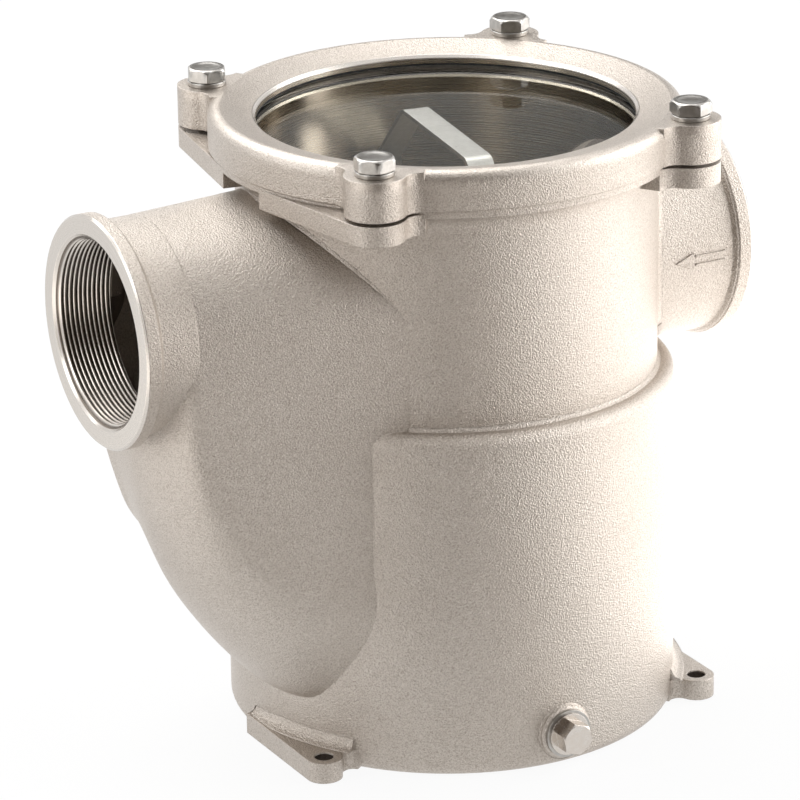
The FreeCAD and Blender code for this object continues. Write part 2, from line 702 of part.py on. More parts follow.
def basket_rim():
    """Angle ring that hangs on the body's ledge and carries the shell."""
    outer = BASKET_R + BASKET_SHEET
    high = LEDGE_Z + BASKET_RIM_THICK
    return turned_z([
        (BASKET_R, high - BASKET_RIM_DEPTH, 0),
        (outer, high - BASKET_RIM_DEPTH, 0),
        (outer, LEDGE_Z, 0),
        (BASKET_RIM_R, LEDGE_Z, 0),
        (BASKET_RIM_R, high, 0),
        (BASKET_R, high, 0),
    ])


def basket_hoop():
    """Plain hoop around the foot of the shell."""
    high = BASKET_FLOOR_Z + BASKET_HOOP
    outer = upright_cylinder(BASKET_R + BASKET_SHEET, BASKET_FLOOR_Z, high)
    return outer.cut(upright_cylinder(BASKET_R, BASKET_FLOOR_Z - OVERCUT, high + OVERCUT))


def basket_handle():
    """Flat strip bent to a bridge: level top, sloping shoulders and legs down the shell."""
    top = TOP_Z - HANDLE_TOP_GAP
    leg = BASKET_R - BASKET_SHEET
    path = [
        (-leg, HANDLE_FOOT_Z),
        (-leg, top - HANDLE_SHOULDER_DROP),
        (-HANDLE_TOP_HALF, top),
        (HANDLE_TOP_HALF, top),
        (leg, top - HANDLE_SHOULDER_DROP),
        (leg, HANDLE_FOOT_Z),
    ]
    outside = [(Vec(0, y, z), HANDLE_BEND_R) for y, z in path]
    inside = [(point, HANDLE_BEND_R - HANDLE_THICK) for point in inset_path(path, HANDLE_THICK)]
    corners = outside + inside[::-1]
    squared = (0, len(path) - 1, len(path), len(corners) - 1)
    corners = [(point, 0 if i in squared else radius) for i, (point, radius) in enumerate(corners)]
    strip = Part.Face(rounded_wire(corners)).extrude(Vec(HANDLE_WIDTH, 0, 0))
    strip.translate(Vec(-HANDLE_WIDTH / 2, 0, 0))
    strip = strip.common(upright_cylinder(leg, HANDLE_FOOT_Z - OVERCUT, TOP_Z))
    strip.rotate(Vec(0, 0, 0), Vec(0, 0, 1), HANDLE_TURN)
    return strip.cut(rivet_holes())


def inset_path(path, distance):
    """The path moved sideways to its right by a distance, corner by corner, in the YZ plane."""
    moved = []
    for i, (y, z) in enumerate(path):
        normals = []
        for a, b in ((i - 1, i), (i, i + 1)):
            if a < 0 or b >= len(path):
                continue
            run = (path[b][0] - path[a][0], path[b][1] - path[a][1])
            length = math.hypot(*run)
            normals.append((run[1] / length, -run[0] / length))
        ny = sum(n[0] for n in normals)
        nz = sum(n[1] for n in normals)
        scale = distance * len(normals) / (ny ** 2 + nz ** 2)
        moved.append(Vec(0, y + ny * scale, z + nz * scale))
    return moved


def at_rivets(profile):
    """A turned (x, radius, rounding) profile repeated at every rivet of the handle's legs."""
    copies = []
    for rise in RIVET_RISES:
        for side in (90, -90):
            copy = turned_x(profile, HANDLE_FOOT_Z + rise)
            copy.rotate(Vec(0, 0, 0), Vec(0, 0, 1), side + HANDLE_TURN)
            copies.append(copy)
    return copies


def rivet_holes():
    """Holes for the rivets through the handle's legs and the shell."""
    leg_in = BASKET_R - BASKET_SHEET - HANDLE_THICK
    return at_rivets([
        (leg_in - OVERCUT, 0, 0),
        (leg_in - OVERCUT, RIVET_R, 0),
        (BASKET_R + OVERCUT, RIVET_R, 0),
        (BASKET_R + OVERCUT, 0, 0),
    ])


def handle_rivets():
    """Rivets with a cone head inside the leg and another outside the shell."""
    leg_in = BASKET_R - BASKET_SHEET - HANDLE_THICK
    return Part.makeCompound(at_rivets([
        (leg_in - RIVET_HEAD_HEIGHT, 0, 0),
        (leg_in - RIVET_HEAD_HEIGHT, RIVET_R, 0),
        (leg_in, RIVET_HEAD_R, 0),
        (leg_in, RIVET_R, 0),
        (BASKET_R, RIVET_R, 0),
        (BASKET_R, RIVET_HEAD_R, 0),
        (BASKET_R + RIVET_HEAD_HEIGHT, RIVET_R, 0),
        (BASKET_R + RIVET_HEAD_HEIGHT, 0, 0),
    ]))


def export(name, shape):
    """Write one node."""
    shape.exportStep("parts/" + name + ".step")
    kinds = (name, len(shape.Solids), shape.isValid(), round(shape.Volume / 1000, 2))
    print("%-18s solids %d valid %s volume %.2f cm3" % kinds)


if __name__ == "__main__":
    export("strainer_body", strainer_body())
    export("cover_ring", cover_ring())
    export("sight_glass", sight_glass())
    export("cover_gasket", cover_gasket())
    export("body_o_ring", body_o_ring())
    for number, (bolt_angle, bolt_turn) in enumerate(zip(BOLT_ANGLES, BOLT_TURNS), 1):
        export("cover_bolt_%d" % number, cover_bolt(bolt_angle, bolt_turn))
        export("spring_washer_%d" % number, spring_washer(bolt_angle))
    export("drain_plug", drain_plug())
    export("drain_washer", drain_washer())
    export("basket_shell", basket_shell())
    export("basket_floor", basket_floor())
    export("basket_rim", basket_rim())
    export("basket_hoop", basket_hoop())
    export("basket_handle", basket_handle())
    export("handle_rivets", handle_rivets())
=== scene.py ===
"""The seawater strainer as it looks: cast grain, threads, fillets, sight glass and basket.

Lengths are in millimetres unless a name ends in _M. A shape is worked out as a whole
numpy array of points and turned into metres when its mesh is made.
"""

import json
import math

import bmesh
import bpy
import numpy as np
from mathutils import Matrix, Quaternion, Vector


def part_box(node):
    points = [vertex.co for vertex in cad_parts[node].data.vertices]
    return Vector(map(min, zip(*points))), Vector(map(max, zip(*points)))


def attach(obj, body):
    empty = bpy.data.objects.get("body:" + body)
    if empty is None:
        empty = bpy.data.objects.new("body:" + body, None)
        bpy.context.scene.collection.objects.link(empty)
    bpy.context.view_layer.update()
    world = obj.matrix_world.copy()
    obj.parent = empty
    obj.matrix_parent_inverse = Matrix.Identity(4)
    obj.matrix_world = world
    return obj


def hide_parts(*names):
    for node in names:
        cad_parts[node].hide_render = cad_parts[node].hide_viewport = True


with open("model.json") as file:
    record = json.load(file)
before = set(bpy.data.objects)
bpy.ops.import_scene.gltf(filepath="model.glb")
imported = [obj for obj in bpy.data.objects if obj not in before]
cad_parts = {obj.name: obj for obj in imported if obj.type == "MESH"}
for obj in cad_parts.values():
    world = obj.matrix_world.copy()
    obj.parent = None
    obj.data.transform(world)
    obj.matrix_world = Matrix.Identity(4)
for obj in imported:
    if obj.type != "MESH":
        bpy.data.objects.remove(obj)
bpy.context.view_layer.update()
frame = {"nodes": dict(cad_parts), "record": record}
NODES = frame["nodes"]
MOUNTS = {mount["name"]: mount for mount in frame["record"]["mounts"]}
METRE = 1000.0


def low_mm(node):
    """Lowest corner of a CAD node in millimetres."""
    return np.array(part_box(node)[0]) * METRE


def high_mm(node):
    """Highest corner of a CAD node in millimetres."""
    return np.array(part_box(node)[1]) * METRE


# Camera of the photograph
VIEW_AZIMUTH = math.radians(-28.628)
VIEW_ELEVATION = math.radians(20.368)
VIEW_ROLL = math.radians(-0.861)
VIEW_DISTANCE_M = 2.2439
VIEW_AIM_M = Vector((0.0, 0.0, 0.14677))
VIEW_SLIDE_M = -0.0231
LENS = 213.05
SENSOR = 36.0
VIEW_REACH_M = 100.0

# Pipe ports and their 3 inch parallel thread
PORT_Z = MOUNTS["outlet_port"]["pos_m"][2] * METRE
THREAD_R = MOUNTS["outlet_port"]["dims"]["r_mm"]
THREAD_LENGTH = 28.0
THREAD_PITCH = 2.309
THREAD_MINOR_R = 42.46
THREAD_ROOT_R = 43.8
THREAD_CHAMFER = 1.6
THREAD_BACK = 0.3
THREAD_END_GAP = 0.02
THREAD_ROWS_A_TURN = 14
THREAD_COLUMNS = 120
OUTLET_FACE_X = low_mm("strainer_body")[0]
INLET_FACE_X = high_mm("strainer_body")[0]
INLET_NECK_R = 52.0

# Vessel casting
DRUM_R = 106.8
BARREL_R = 98.6
SHOULDER_Z = 168.0
TOP_Z = high_mm("strainer_body")[2]
CHAMBER_R = 89.0
CHAMBER_LOW_Z = 165.0
EYE_R = 88.2
EYE_BAND = 1.7
EYE_Z = 291.0
# Depth of the eye's top lip that is left out of the chamber's painted shade
EYE_UNSHADED_LIP = 2.0
RING_CREST_Z = 293.0
RING_CREST_RUN = 5.0
RING_CREST_GRAIN = 0.45
RING_FOOT = 1.0
WATERWAY_R = 46.0
WATERWAY_X = 92.0
PORT_FACE_DEPTH = 1.2
PORT_FACE_LAP = 3.0
CHAMBER_LAP = 1.5
FOOT_HOLE_LIP = 0.8

# Duct between the vessel and the outlet: flat flanks, round nose and crown
DUCT_END_X = -155.0
DUCT_HALF = 49.5
FLANK_SLOPE = 0.287
FLANK_X = -73.0
FLANK_RUN = 82.0
FLANK_Z = 190.0
FLANK_DROP = 107.0
BELLY_X = -58.5
BELLY_RUN = 110.0
BELLY_Z = 175.0
BELLY_DROP = 158.5
KEEL_DROP = 70.0

# Radii of the casting's fillets, and the feet and drain boss that carry them
UPPER_FILLET_R = 1.8
LOWER_FILLET_R = 2.4
NECK_FILLET_R = 5.0
SHOULDER_FILLET_R = 2.0
FOOT_FILLET_R = 6.0
FOOT_TOP_Z = 10.0
FOOT_HOLE_R = 4.6
DRAIN_Z = 16.8
DRAIN_BOSS_R = 13.0
DRAIN_FILLET_R = 1.2

# Fillets: a ball rolls along each seam until it touches both shapes
FILLET_ACROSS = 10
ROLL_ROUNDS = 12
ROLL_EASE = 0.8
ROLL_LEAST_OPENING = 0.2
TOUCH_ROUNDS = 3
TOUCH_SINK = 0.04
SEAM_SINK = 0.6
SLOPE_STEP = 0.02

# Seam of the duct on the barrel: a climb up each flank and the crown between them
FLANK_FIRST_GUESS = -0.7
FLANK_ROUNDS = 30
CLIMB_POINTS = 24
CLIMB_LOW = 3.0
CLIMB_HIGH = 0.5
CROWN_POINTS = 80
CROWN_GAP = 0.002
CROWN_SEARCH = 20.0
HALVINGS = 40
SMOOTH_ROUNDS = 3

# Seams of the duct on the drum: a drop down each flank, along which the fillet fades
DROP_POINTS = 60
DROP_HIGH = 5.0
DROP_LOW = 2.0
DROP_FADE = 40.0
DROP_FADE_START = 4.0
DROP_LEAST = 0.05

# Inlet neck's seam, in radians either way from its top
INLET_SEAM_TURN = 2.3
INLET_POINTS = 120

# Shoulder's seams: start and end in radians about the vessel from the inlet's side
SHOULDER_SEAMS = (("front", -2.27, -0.26), ("rear", 0.26, 2.27))
SHOULDER_POINTS = 90

# Foot seams: start and end in degrees from the inlet's side, and the end at which the foot runs out
FOOT_SEAMS = (
    ("outlet", -180.0, -144.6, "start"),
    ("inlet", -40.4, 0.0, "end"),
    ("rear", 85.6, 94.4, "none"),
)
FOOT_POINTS = 40
FOOT_LEAST = 0.55
FOOT_FADE = 3.0
DRAIN_POINTS = 72

# Cover bolts
BOLT_NAMES = [name for name in sorted(NODES) if name.startswith("cover_bolt")]
BOLT_R = 5.0
BOLT_ROOT_R = 4.15
BOLT_PITCH = 1.5
BOLT_FLATS = 17.0
BOLT_HEAD = 6.4
BOLT_PLAIN = 3.0
BOLT_POINT = 1.0
BOLT_POINT_DROP = 0.6
BOLT_ROWS_A_TURN = 9
BOLT_COLUMNS = 72

# Turn of each bolt's hexagon, in degrees
BOLT_TURNS = {
    "cover_bolt_1": 34.4,
    "cover_bolt_2": 6.4,
    "cover_bolt_3": 16.4,
    "cover_bolt_4": 24.9,
}

# Bolt head's foot: radius on the flats, height above the seat, reach of the corners and their tilt
HEAD_FOOT = (
    (BOLT_R, -BOLT_PLAIN, 0, 0),
    (BOLT_R, 0, 0, 0),
    (8.0, 0, 0, 0),
    (8.0, 0.35, 0, 0),
    (8.5, 0.36, 2, 0.3),
)

# Bolt head's crown: the same, with heights above its top
HEAD_CROWN = (
    (8.5, -1.0, 2, -0.577),
    (8.5, -0.45, 0.5, -0.5),
    (8.1, -0.05, 0, 0),
    (7.9, 0, 0, 0),
    (6.0, 0, 0, 0),
    (5.6, -0.12, 0, 0),
    (2.0, -0.12, 0, 0),
)

# Thread profile: a triangle wave stretched past its limits, clipped there and a little swollen
WAVE_STRETCH = 1.35
WAVE_SHIFT = 0.17
WAVE_SWELL = 0.35

# Spring washers, whose gap is turned past the bolt's hexagon by so many degrees
WASHER_INNER_R = 5.3
WASHER_GAP = 1.6
WASHER_TURN = 50.0
WASHER_EDGE = 0.25
WASHER_CLEARANCE = 0.02
WASHER_STEPS = 90

# Edges that turn more than this are left sharp
CRISP_ANGLE = math.radians(32)

# Basket of punched sheet: staggered round holes and plain bands
BASKET_R = 81.3
BASKET_SHEET = 1.2
HOLE_COLUMNS = 84
HOLE_ROWS = 20
HOLE_R = 2.1
SHELL_LOW_BAND = 10.0
SHELL_HIGH_BAND = 36.0
BAND_LAP = 3.0
FLOOR_PITCH = 6.1
FLOOR_EDGE = 7.4
BAND_PROUD = 0.02
SHEET_INSET = 0.05
SHEET_COLUMNS = 144
CELL_POINTS = 12
WELD_M = 0.00002

# Flow arrow on the inlet neck, as distances along the port's axis and heights on the neck
ARROW_TIP_X = 94.7
ARROW_NECK_X = 103.7
ARROW_TAIL_X = 121.0
ARROW_MIDDLE_Z = 213.1
ARROW_HALF_HEAD = 3.7
ARROW_HALF_SHAFT = 2.1
ARROW_LINE = 0.6
ARROW_RISE = 0.8
ARROW_DIP = 0.12
ARROW_KEEL = 0.4
ARROW_SHAFT_GAP = 1.0
ARROW_ACROSS = 9


def rgb(red, green, blue):
    """Linear colour with full alpha."""
    return (red, green, blue, 1.0)


# Colours of the object, linear
NICKEL = rgb(0.63, 0.575, 0.52)
NICKEL_WORN = rgb(0.585, 0.53, 0.475)
NICKEL_PIT = rgb(0.31, 0.26, 0.215)
NICKEL_TURNED = rgb(0.66, 0.62, 0.575)
# Painted shade: darker, warmer tone of the unlit chamber and of the eye below its lip
BORE_PAINTED_SHADE = rgb(0.50, 0.44, 0.355)
# Painted shade inside the waterway behind the ports
WATERWAY_PAINTED_SHADE = rgb(0.20, 0.165, 0.135)
# Painted shade on the walls of the foot holes
HOLE_PAINTED_SHADE = rgb(0.10, 0.08, 0.065)
THREAD_SHADE = rgb(0.16, 0.135, 0.115)
STEEL = rgb(0.50, 0.48, 0.455)
STEEL_WORN = rgb(0.40, 0.385, 0.36)
SHEET = rgb(0.66, 0.63, 0.585)
SHEET_WORN = rgb(0.56, 0.53, 0.485)
RUBBER = rgb(0.018, 0.018, 0.018)
RUBBER_DUST = rgb(0.045, 0.044, 0.042)
CLEAR = rgb(0.97, 0.985, 0.98)

# Colours of the studio, linear
CARD_FRONT = rgb(0.14, 0.115, 0.095)
CARD_RIGHT = rgb(2.5, 2.42, 2.36)
CARD_LEFT = rgb(2.1, 2.02, 1.94)
CARD_DARK = rgb(0.05, 0.04, 0.03)
WHITE = rgb(1.0, 1.0, 1.0)
FLOOR_PAINT = rgb(0.9, 0.9, 0.9)

# Surface textures: features for each metre, and depths and edge radii in metres
GRAIN_SCALE = 1400.0
GRAIN_TURN = (0.6, 0.4, 0.9)
GRAIN_DEPTH_M = 0.0009
PIT_SCALE = 1200.0
COARSE_SCALE = 480.0
CLOUD_SCALE = 14.0
CAST_EDGE_M = 0.0009
LATHE_SCALE = 2600.0
LATHE_DEPTH_M = 0.00003
LATHE_EDGE_M = 0.0005
THREAD_GRAIN_SCALE = 1500.0
THREAD_GRAIN_DEPTH_M = 0.00008
THREAD_SHADE_LOW = 0.45
THREAD_SHADE_HIGH = 0.1
SCUFF_SCALE = 300.0
STEEL_GRAIN_SCALE = 2200.0
SCUFF_DEPTH_M = 0.0001
STEEL_EDGE_M = 0.0003
DUST_SCALE = 180.0
RUBBER_GRAIN_SCALE = 1400.0
RUBBER_DEPTH_M = 0.0001
HAZE_SCALE = 60.0
CLEAR_IOR = 1.12
EDGE_SAMPLES = 6

# Lamps: place and size in metres, and power in watts
STUDIO_AIM_M = (0.0, 0.0, 0.15)
LAMPS = (
    ("right_softbox", (2.2, -0.7, 1.0), 2.6, 60),
    ("top_softbox", (-0.2, 1.15, 2.0), 2.2, 42),
    ("left_softbox", (-2.3, 0.1, 1.3), 1.2, 12),
)

# Cards: place and size in metres, tone and aim
CARDS = (
    ("front_card", (-1.1, -2.0, 1.2), 3.8, CARD_FRONT, STUDIO_AIM_M),
    ("floor_card", (-0.58, -0.93, 0.004), 1.4, CARD_FRONT, (-0.58, -0.93, 1.0)),
    ("back_card", (0.9, 1.65, 0.98), 0.8, CARD_DARK, (0.0, 0.0, 0.29)),
    ("right_reflector", (0.82, -0.28, 0.006), 1.4, CARD_RIGHT, (0.82, -0.28, 1.0)),
    ("left_reflector", (-1.0, -0.02, 0.005), 1.1, CARD_LEFT, (-1.0, -0.02, 1.0)),
)
CARD_UNSEEN_BY = ("visible_camera", "visible_diffuse", "visible_transmission", "visible_shadow")

# Floor and surroundings
FLOOR_HALF_M = 6.0
FLOOR_Z_M = -0.0004
FLOOR_GLOW = 0.92
WORLD_LIGHT = 0.45


class Wire:
    """A shader socket; Python operators on it add Math nodes."""

    def __init__(self, finish, source):
        self.finish = finish
        self.source = source

    def _math(self, operation, first, second):
        return self.finish.node("ShaderNodeMath", {"operation": operation}, {0: first, 1: second})

    def __add__(self, other):
        return self._math("ADD", self, other)

    __radd__ = __add__

    def __mul__(self, other):
        return self._math("MULTIPLY", self, other)

    def __sub__(self, other):
        return self._math("SUBTRACT", self, other)

    def __rsub__(self, other):
        return self._math("SUBTRACT", other, self)

    def __pow__(self, other):
        return self._math("POWER", self, other)

    def __gt__(self, other):
        return self._math("GREATER_THAN", self, other)

    def __lt__(self, other):
        return self._math("LESS_THAN", self, other)

    def ramp(self, low, high, start=0.0, end=1.0):
        """Smooth step from start to end as the value goes from low to high."""
        return self.finish.node(
            "ShaderNodeMapRange",
            {"interpolation_type": "SMOOTHSTEP", "clamp": True},
            {"Value": self, "From Min": low, "From Max": high, "To Min": start, "To Max": end},
        )


class Finish:
    """Builds the nodes of a new material, or of the world when one is given."""

    def __init__(self, name, world=None):
        self.owner = world or bpy.data.materials.new(name)
        self.owner.use_nodes = True
        self.tree = self.owner.node_tree
        self.tree.nodes.clear()
        self.output = self.tree.nodes.new("ShaderNodeOutput" + ("World" if world else "Material"))

    def node(self, kind, settings=None, inputs=None, out=0):
        """A node of the given type as a Wire on its output."""
        node = self.tree.nodes.new(kind)
        for key, value in (settings or {}).items():
            setattr(node, key, value)
        for key, value in (inputs or {}).items():
            if isinstance(value, Wire):
                self.tree.links.new(value.source, node.inputs[key])
            else:
                node.inputs[key].default_value = value
        return Wire(self, node.outputs[out])

    def place(self):
        """Object coordinates in metres."""
        return self.node("ShaderNodeTexCoord", out="Object")

    def split(self, vector):
        """The three parts of a vector."""
        node = self.node("ShaderNodeSeparateXYZ", inputs={0: vector}).source.node
        return [Wire(self, output) for output in node.outputs]

    def join(self, x, y, z):
        """A vector from three values."""
        return self.node("ShaderNodeCombineXYZ", inputs={0: x, 1: y, 2: z})

    def noise(self, vector, scale, detail, roughness=0.5):
        """Noise from 0 to 1 with a number of features for each metre."""
        return self.node(
            "ShaderNodeTexNoise",
            inputs={"Vector": vector, "Scale": scale, "Detail": detail, "Roughness": roughness},
        )

    def cells(self, vector, scale):
        """Distance to the nearest of many scattered points, in cells."""
        return self.node("ShaderNodeTexVoronoi", inputs={"Vector": vector, "Scale": scale})

    def blend(self, share, first, second):
        """Colour between two colours."""
        mix = self.tree.nodes.new("ShaderNodeMix")
        mix.data_type = "RGBA"
        colours = [socket for socket in mix.inputs if socket.type == "RGBA"]
        for socket, value in ((mix.inputs[0], share), (colours[0], first), (colours[1], second)):
            if isinstance(value, Wire):
                self.tree.links.new(value.source, socket)
            else:
                socket.default_value = value
        return Wire(self, next(socket for socket in mix.outputs if socket.type == "RGBA"))

    def bump(self, height, depth, strength, normal=None):
        """Normal of a surface with a height map whose full range is depth metres."""
        inputs = {"Height": height, "Distance": depth, "Strength": strength}
        if normal is not None:
            inputs["Normal"] = normal
        return self.node("ShaderNodeBump", inputs=inputs)

    def soft_edge(self, radius):
        """Normal that rounds edges over a radius in metres."""
        return self.node("ShaderNodeBevel", {"samples": EDGE_SAMPLES}, {"Radius": radius}, out="Normal")

    def principled(self, **sockets):
        """Principled shader; names are the sockets' with underscores for spaces."""
        named = {key.replace("_", " "): value for key, value in sockets.items()}
        return self.node("ShaderNodeBsdfPrincipled", inputs=named)

    def mixed(self, share, first, second):
        """Shader between two shaders."""
        return self.node("ShaderNodeMixShader", inputs={0: share, 1: first, 2: second})

    def show(self, shader):
        """The finished material or world, with the given shader on its surface."""
        self.tree.links.new(shader.source, self.output.inputs["Surface"])
        return self.owner

    def surface(self, **sockets):
        """The finished material with one principled shader."""
        return self.show(self.principled(**sockets))


def cast_nickel():
    """Blasted and plated casting with turned faces.

    Outside it has fine pits and faint clouding, and the ring's crest is worn smoother. The
    port faces, the ring's eye and the chamber are turned: smooth, with fine lines round their
    axis. Painted shade darkens the foot holes and the waterway behind the ports, and gives the
    chamber and the eye below its top lip a darker, warmer tone.
    """
    finish = Finish("cast_nickel")
    place = finish.place()
    x, y, z = finish.split(place)
    from_axis = (y * y + (z - PORT_Z / METRE) ** 2) ** 0.5
    from_middle = (x * x + y * y) ** 0.5
    near_outlet = x < (OUTLET_FACE_X + PORT_FACE_DEPTH) / METRE
    near_inlet = x > (INLET_FACE_X - PORT_FACE_DEPTH) / METRE
    port_face = (near_outlet + near_inlet) * (from_axis > (THREAD_R - PORT_FACE_LAP) / METRE)
    above = z > (TOP_Z + RING_FOOT) / METRE
    eye = (from_middle < (EYE_R + EYE_BAND) / METRE) * above
    in_chamber = (from_middle < (CHAMBER_R + CHAMBER_LAP) / METRE) * (z > CHAMBER_LOW_Z / METRE)
    inside = in_chamber * (1 - above)
    # Painted shade: the walls of the foot holes are darkened, as no light gets into them
    hole = 0.0
    for name in ("left_foot_hole", "right_foot_hole", "back_foot_hole"):
        spot = MOUNTS[name]["pos_m"]
        across = (x - spot[0]) ** 2 + (y - spot[1]) ** 2
        below = z < (FOOT_TOP_Z - FOOT_HOLE_LIP) / METRE
        hole = (across < (FOOT_HOLE_R / METRE) ** 2) * below + hole
    # Painted shade: the chamber and the eye below its top lip take a darker, warmer tone
    bore_shade = inside + eye * (z < (EYE_Z - EYE_UNSHADED_LIP) / METRE)
    # Painted shade: the waterway behind the port faces is darkened, where little light reaches
    in_port = (from_axis < WATERWAY_R / METRE) * (x * x > (WATERWAY_X / METRE) ** 2)
    waterway = in_port * (1 - port_face)

    tilted = finish.node("ShaderNodeVectorRotate", {"rotation_type": "EULER_XYZ"},
                         {"Vector": place, "Rotation": GRAIN_TURN})
    grain = finish.noise(tilted, GRAIN_SCALE, 3.0, 0.7)
    pits = finish.cells(tilted, PIT_SCALE)
    coarse = finish.noise(tilted, COARSE_SCALE, 2.0)
    clouds = finish.noise(place, CLOUD_SCALE, 2.0)
    crest_low_z = RING_CREST_Z - RING_CREST_RUN
    crest = z.ramp(crest_low_z / METRE, RING_CREST_Z / METRE, 1.0, RING_CREST_GRAIN)
    height = (grain * 0.5 + pits * 0.3 + coarse * 0.2) * crest
    tone = finish.blend(clouds.ramp(0.3, 0.7), NICKEL_WORN, NICKEL)
    tone = finish.blend(grain.ramp(0.6, 0.32, 0.0, 0.7), tone, NICKEL_PIT)
    tone = finish.blend(waterway, tone, WATERWAY_PAINTED_SHADE)
    tone = finish.blend(hole, tone, HOLE_PAINTED_SHADE)
    rough_normal = finish.bump(height, GRAIN_DEPTH_M, 0.9, finish.soft_edge(CAST_EDGE_M))
    blasted = finish.principled(Base_Color=tone, Metallic=0.92, Roughness=0.30 + grain * 0.12,
                                Normal=rough_normal)

    along_cut = from_axis * port_face + z * (1 - port_face)
    lines = finish.noise(finish.join(along_cut, 0.0, 0.0), LATHE_SCALE, 2.0)
    smooth_tone = finish.blend(bore_shade, NICKEL_TURNED, BORE_PAINTED_SHADE)
    smooth_tone = finish.blend(lines.ramp(0.35, 0.65, 0.0, 0.25), smooth_tone, NICKEL_PIT)
    smooth_normal = finish.bump(lines, LATHE_DEPTH_M, 0.3, finish.soft_edge(LATHE_EDGE_M))
    lathe = finish.principled(Base_Color=smooth_tone, Metallic=1.0, Roughness=0.22 + lines * 0.1,
                              Anisotropic=0.75, Anisotropic_Rotation=0.25, Normal=smooth_normal)
    return finish.show(finish.mixed(port_face + eye + inside, blasted, lathe))


def turned_nickel():
    """Plated metal straight from the lathe, as on the thread turns, with painted shade in the thread
    roots.
    """
    finish = Finish("turned_nickel")
    place = finish.place()
    _, y, z = finish.split(place)
    from_axis = (y * y + (z - PORT_Z / METRE) ** 2) ** 0.5
    # Painted shade: the colour darkens into the thread roots, where shade falls
    root = from_axis.ramp((THREAD_MINOR_R + THREAD_SHADE_LOW) / METRE,
                          (THREAD_ROOT_R - THREAD_SHADE_HIGH) / METRE)
    fine = finish.noise(place, THREAD_GRAIN_SCALE, 2.0)
    tone = finish.blend(fine.ramp(0.3, 0.7), NICKEL, NICKEL_TURNED)
    tone = finish.blend(root * 0.9, tone, THREAD_SHADE)
    normal = finish.bump(fine, THREAD_GRAIN_DEPTH_M, 0.3)
    return finish.surface(Base_Color=tone, Metallic=1.0, Roughness=0.2 + fine * 0.08, Normal=normal)


def bright_steel(name, light, worn, rough):
    """Cold formed steel with faint scuffs."""
    finish = Finish(name)
    place = finish.place()
    scuffs = finish.noise(place, SCUFF_SCALE, 4.0, 0.65)
    fine = finish.noise(place, STEEL_GRAIN_SCALE, 1.0)
    tone = finish.blend(scuffs.ramp(0.35, 0.7), worn, light)
    height = scuffs * 0.6 + fine * 0.4
    normal = finish.bump(height, SCUFF_DEPTH_M, 0.35, finish.soft_edge(STEEL_EDGE_M))
    return finish.surface(Base_Color=tone, Metallic=1.0, Roughness=rough + scuffs * 0.12, Normal=normal)


def rubber():
    """Matt black sealing rubber with a little dust."""
    finish = Finish("seal_rubber")
    place = finish.place()
    dust = finish.noise(place, DUST_SCALE, 3.0)
    fine = finish.noise(place, RUBBER_GRAIN_SCALE, 2.0)
    tone = finish.blend(dust.ramp(0.45, 0.8), RUBBER, RUBBER_DUST)
    return finish.surface(Base_Color=tone, Roughness=0.62 + fine * 0.2,
                          Normal=finish.bump(fine, RUBBER_DEPTH_M, 0.4))


def sight_glass():
    """Clear polished disc."""
    finish = Finish("clear_disc")
    place = finish.place()
    haze = finish.noise(place, HAZE_SCALE, 3.0)
    return finish.surface(Base_Color=CLEAR, Roughness=haze.ramp(0.4, 0.9, 0.0, 0.03),
                          IOR=CLEAR_IOR, Transmission_Weight=1.0)


def finish_piece(name, points, material, body, wrap_rows=False, close_ends=False,
                 smooth=True):
    """Piece from a grid of points in millimetres, indexed by row, column and axis.

    Its last column joins its first. Its last row joins its first when the rows are wrapped, and
    closed ends get a middle point each.
    """
    rows, columns = points.shape[:2]
    index = np.arange(rows * columns).reshape(rows, columns)
    if wrap_rows:
        index = np.vstack([index, index[:1]])
    index = np.hstack([index, index[:, :1]])
    faces = np.stack([index[:-1, :-1], index[:-1, 1:], index[1:, 1:], index[1:, :-1]], axis=-1)
    faces = faces.reshape(-1, 4).tolist()
    vertices = points.reshape(-1, 3)
    ends = ((index[0], 1), (index[-1], -1)) if close_ends else ()
    for line, turn in ends:
        middle = len(vertices)
        vertices = np.vstack([vertices, vertices[line[:-1]].mean(axis=0)])
        pairs = np.stack([line[:-1], line[1:]], axis=-1)[:, ::turn]
        faces += np.column_stack([np.full(len(pairs), middle), pairs[:, ::-1]]).tolist()
    return finish_mesh(name, vertices, faces, material, body, smooth)


def finish_mesh(name, vertices, faces, material, body, smooth):
    """Piece from points in millimetres and faces, riding on a body."""
    mesh = bpy.data.meshes.new(name)
    mesh.from_pydata((np.asarray(vertices) / METRE).tolist(), [], faces)
    mesh.validate()
    outward = bmesh.new()
    outward.from_mesh(mesh)
    bmesh.ops.recalc_face_normals(outward, faces=outward.faces)
    outward.to_mesh(mesh)
    outward.free()
    if smooth:
        mesh.shade_smooth()
    else:
        mesh.shade_flat()
    piece = bpy.data.objects.new(name, mesh)
    bpy.context.scene.collection.objects.link(piece)
    mesh.materials.append(material)
    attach(piece, body)
    return piece


def vessel(radius):
    """Upright cylinder about the vessel's axis, as a function that is 0 on its surface."""
    return lambda p: np.hypot(p[..., 0], p[..., 1]) - radius


def neck(radius):
    """Cylinder about the ports' axis."""
    return lambda p: np.hypot(p[..., 1], p[..., 2] - PORT_Z) - radius


def drain_boss(p):
    """Cylinder about the drain's axis."""
    return np.hypot(p[..., 0], p[..., 2] - DRAIN_Z) - DRAIN_BOSS_R


def level(height):
    """Level plane."""
    return lambda p: p[..., 2] - height


